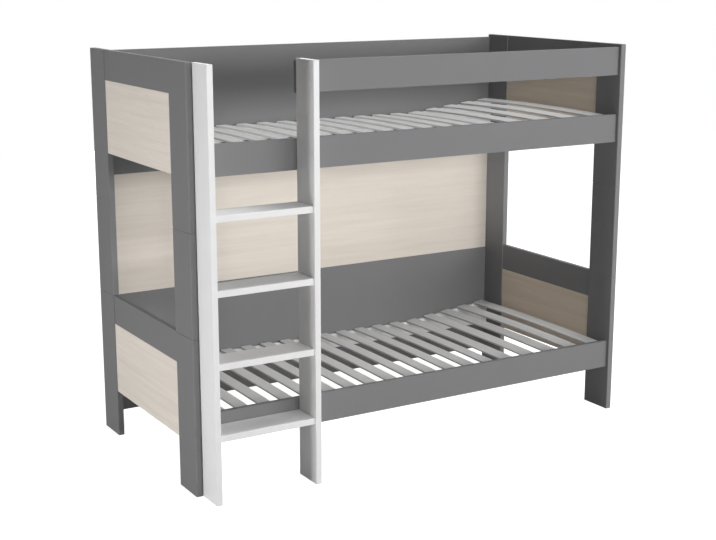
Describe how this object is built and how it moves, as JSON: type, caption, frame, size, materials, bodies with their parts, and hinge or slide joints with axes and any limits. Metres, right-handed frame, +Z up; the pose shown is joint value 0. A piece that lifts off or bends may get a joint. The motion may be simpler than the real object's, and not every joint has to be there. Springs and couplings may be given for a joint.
{
  "type": "bunk bed",
  "caption": "Bunk bed of dark boards with pale wood infill panels, closed back, guard rail, upright white ladder and slatted bases that rise at the head end.",
  "frame": {"origin": "middle of the footprint, ladder included, on the floor", "axes": "+X along the bed away from the ladder end, +Y from the ladder side towards the closed back, +Z up"},
  "size_m": [2.07, 1.085, 1.65],
  "materials": {
    "dark_board": "matt graphite grey melamine board",
    "pale_wood": "pale oak melamine board with faint level grain",
    "white_board": "satin white melamine board",
    "slat_wood": "pale glued birch, satin",
    "steel": "zinc plated steel"
  },
  "bodies": {
    "root": {"lower_end_left_front_post": "dark_board", "lower_end_left_front_post_pin": "steel", "spacer_left_front_post": "dark_board", "spacer_left_front_post_pin": "steel", "upper_end_left_front_post": "dark_board", "lower_end_left_rear_post": "dark_board", "lower_end_left_rear_post_pin": "steel", "spacer_left_rear_post": "dark_board", "spacer_left_rear_post_pin": "steel", "upper_end_left_rear_post": "dark_board", "lower_end_right_front_post": "dark_board", "lower_end_right_front_post_pin": "steel", "spacer_right_front_post": "dark_board", "spacer_right_front_post_pin": "steel", "upper_end_right_front_post": "dark_board", "lower_end_right_rear_post": "dark_board", "lower_end_right_rear_post_pin": "steel", "spacer_right_rear_post": "dark_board", "spacer_right_rear_post_pin": "steel", "upper_end_right_rear_post": "dark_board", "lower_end_left_rail": "dark_board", "lower_end_left_panel": "pale_wood", "lower_end_right_rail": "dark_board", "lower_end_right_panel": "pale_wood", "upper_end_left_rail": "dark_board", "upper_end_left_panel": "pale_wood", "upper_end_right_rail": "dark_board", "upper_end_right_panel": "pale_wood", "lower_front_rail": "dark_board", "lower_front_rail_left_pin": "steel", "lower_front_rail_right_pin": "steel", "upper_front_rail": "dark_board", "upper_front_rail_left_pin": "steel", "upper_front_rail_right_pin": "steel", "guard_rail": "dark_board", "guard_rail_right_pin": "steel", "guard_rail_screw": "steel", "lower_back_board": "dark_board", "middle_back_board": "pale_wood", "upper_back_board": "dark_board", "ladder_left_upright": "white_board", "ladder_right_upright": "white_board", "ladder_rung_1": "white_board", "ladder_rung_2": "white_board", "ladder_rung_3": "white_board", "ladder_rung_4": "white_board", "ladder_left_screw": "steel", "ladder_right_screw": "steel", "lower_front_bearer": "slat_wood", "lower_front_head_bearer": "slat_wood", "lower_rear_bearer": "slat_wood", "lower_rear_head_bearer": "slat_wood", "upper_front_bearer": "slat_wood", "upper_front_head_bearer": "slat_wood", "upper_rear_bearer": "slat_wood", "upper_rear_head_bearer": "slat_wood", "lower_slat_base": "slat_wood", "upper_slat_base": "slat_wood"}
  },
  "joints": []
}
